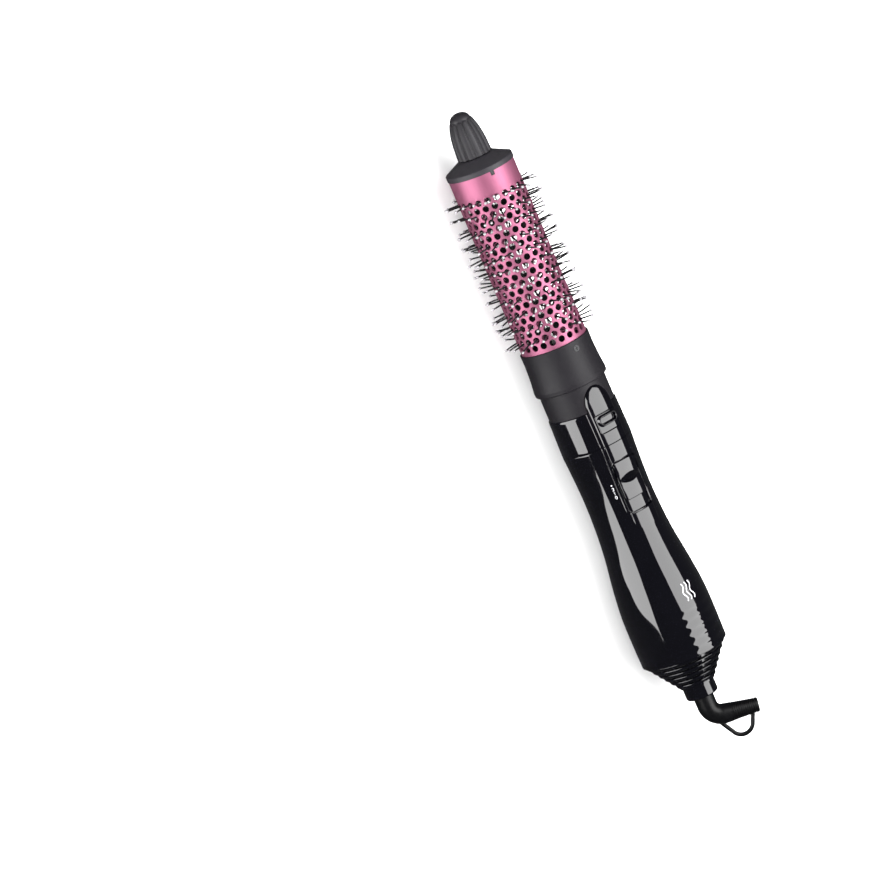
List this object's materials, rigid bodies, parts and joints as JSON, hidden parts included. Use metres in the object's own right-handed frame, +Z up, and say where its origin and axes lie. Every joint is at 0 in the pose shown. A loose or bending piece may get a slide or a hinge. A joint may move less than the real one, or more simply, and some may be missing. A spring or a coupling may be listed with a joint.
{
  "type": "hot air brush",
  "caption": "Round hot air brush: perforated barrel with bristles, cool tip, twist-off head, slide switch, motor handle and swivelling cord boot.",
  "frame": {"origin": "centre of the bounding box, on the table that the lowest bristle tips touch", "axes": "+X along the brush from the cool tip to the cord end, +Z up through the buttons, +Y across"},
  "size_m": [0.384, 0.052, 0.0515],
  "materials": {
    "matte_charcoal": "fine matte moulded plastic",
    "gloss_black": "polished black moulded plastic",
    "pink_anodised": "pink anodised aluminium",
    "black_nylon": "black nylon",
    "clear_ball": "clear resin",
    "steel": "bright steel",
    "zinc_steel": "zinc plated steel",
    "black_rubber": "satin black rubber",
    "inner_plastic": "heat resistant plastic",
    "mica": "mica sheet",
    "resistance_wire": "resistance wire",
    "bronze": "sintered bronze",
    "magnet": "ferrite",
    "copper": "copper windings on steel plates",
    "board": "circuit board",
    "wire_red": "silicone insulation",
    "filter_mesh": "fine wire mesh",
    "brass": "brass"
  },
  "bodies": {
    "handle": {"neck_ring": "matte_charcoal", "upper_housing": "gloss_black", "grip_front_shell": "gloss_black", "grip_back_shell": "gloss_black", "shell_screws": "zinc_steel", "release_spring": "steel", "spring_bridge": "inner_plastic", "switch_body": "inner_plastic", "circuit_board": "board", "rectifier_diodes": "inner_plastic", "heater_frame": "mica", "heating_coils": "resistance_wire", "heater_shroud": "mica", "heater_holder": "inner_plastic", "thermostat": "steel", "thermal_fuse": "inner_plastic", "motor_can": "steel", "motor_end_plate": "inner_plastic", "motor_bushes": "bronze", "magnets": "magnet", "motor_mount": "inner_plastic", "inlet_grille": "gloss_black", "inlet_filter": "filter_mesh", "swivel_socket": "gloss_black", "swivel_contacts": "brass", "lead_wires": "wire_red"},
    "brush_head": {"end_cap": "matte_charcoal", "barrel": "pink_anodised", "collar": "matte_charcoal", "collar_screw": "zinc_steel", "bristle_rows": "black_nylon", "bristle_tips": "clear_ball", "bristle_core": "steel", "tip_axle": "steel"},
    "cool_tip": {"cool_tip": "matte_charcoal", "tip_bush": "inner_plastic"},
    "release_button": {"release_button": "gloss_black", "release_latch": "inner_plastic"},
    "power_switch": {"switch_knob": "gloss_black"},
    "rotor": {"motor_shaft": "steel", "armature": "copper", "fan_impeller": "inner_plastic"},
    "cord_boot": {"cord_boot": "black_rubber", "hang_loop": "black_rubber", "swivel_disc": "inner_plastic"}
  },
  "joints": [
    {"name": "head_twist", "type": "hinge", "parent": "handle", "child": "brush_head", "pos_m": [-0.0234, 0, 0.02577], "axis": [1, 0, 0], "range_deg": [0, 15]},
    {"name": "tip_spin", "type": "hinge", "parent": "brush_head", "child": "cool_tip", "pos_m": [-0.17, 0, 0.02577], "axis": [1, 0, 0], "continuous": true},
    {"name": "button_press", "type": "slide", "parent": "handle", "child": "release_button", "axis": [0, 0, -1], "range_m": [0, 0.0012], "stiffness_N_per_m": 600, "springref_m": -0.001, "deforming": ["release_spring"]},
    {"name": "switch_slide", "type": "slide", "parent": "handle", "child": "power_switch", "axis": [1, 0, 0], "range_m": [0, 0.0069]},
    {"name": "rotor_spin", "type": "hinge", "parent": "handle", "child": "rotor", "pos_m": [0.078, 0, 0.02577], "axis": [1, 0, 0], "continuous": true},
    {"name": "cord_swivel", "type": "hinge", "parent": "handle", "child": "cord_boot", "pos_m": [0.1565, 0, 0.02577], "axis": [1, 0, 0], "continuous": true}
  ]
}
